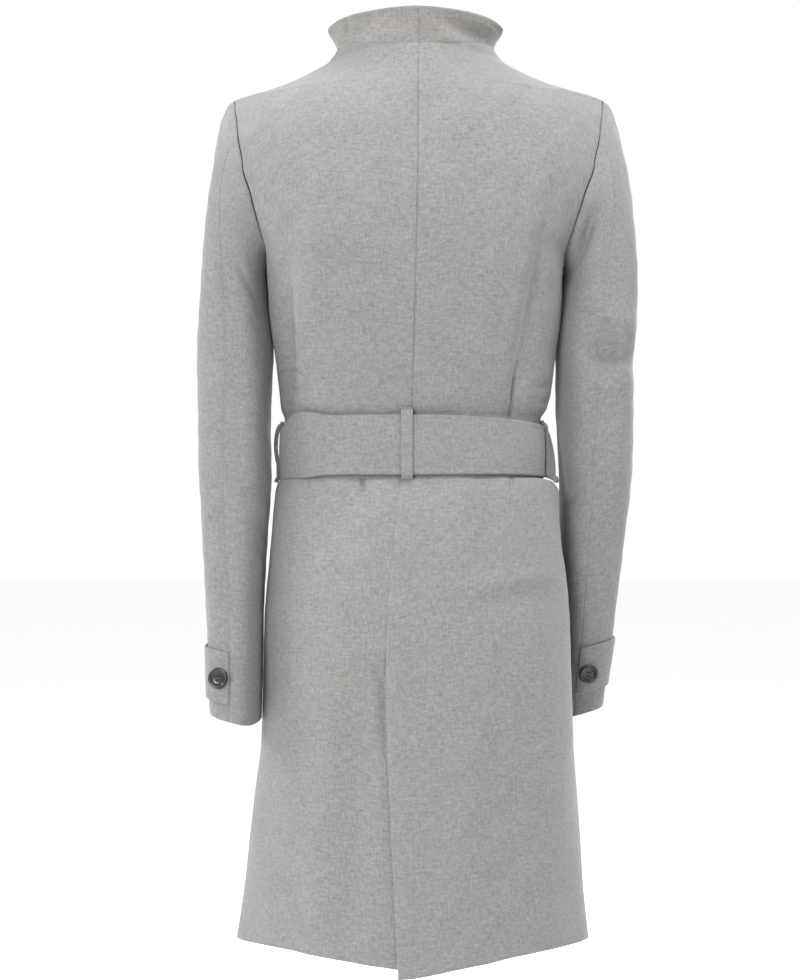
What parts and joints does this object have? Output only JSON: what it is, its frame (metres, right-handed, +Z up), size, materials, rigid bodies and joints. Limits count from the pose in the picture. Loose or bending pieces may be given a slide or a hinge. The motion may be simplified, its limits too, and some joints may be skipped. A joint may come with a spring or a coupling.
{
  "type": "belted coat",
  "caption": "Knee-length wool coat with standing collar, set-in sleeves with buttoned cuff tabs, tied belt through loops and a back vent, held in its worn, hollow form.",
  "frame": {"origin": "middle of the neck opening at the height of the shoulder seams' neck ends, where the coat hangs from the wearer's shoulders", "axes": "+Z up, -Y the way the front faces, +X the wearer's left"},
  "size_m": [0.4389, 0.2963, 0.9263],
  "materials": {
    "wool": "light grey melange wool cloth, soft and matt",
    "button": "near-black polished buttons"
  },
  "bodies": {
    "root": {"back_left": "wool", "back_right": "wool", "front_left": "wool", "front_right": "wool", "sleeve_upper_left": "wool", "sleeve_under_left": "wool", "sleeve_upper_right": "wool", "sleeve_under_right": "wool", "cuff_tab_left": "wool", "cuff_tab_right": "wool", "cuff_button_left": "button", "cuff_button_right": "button", "collar_left": "wool", "collar_right": "wool", "belt": "wool", "belt_knot": "wool", "belt_tail_left": "wool", "belt_tail_right": "wool", "belt_loop_back": "wool", "belt_loop_left": "wool", "belt_loop_right": "wool", "front_button_1": "button", "front_button_2": "button", "front_button_3": "button", "front_button_4": "button"}
  },
  "joints": []
}
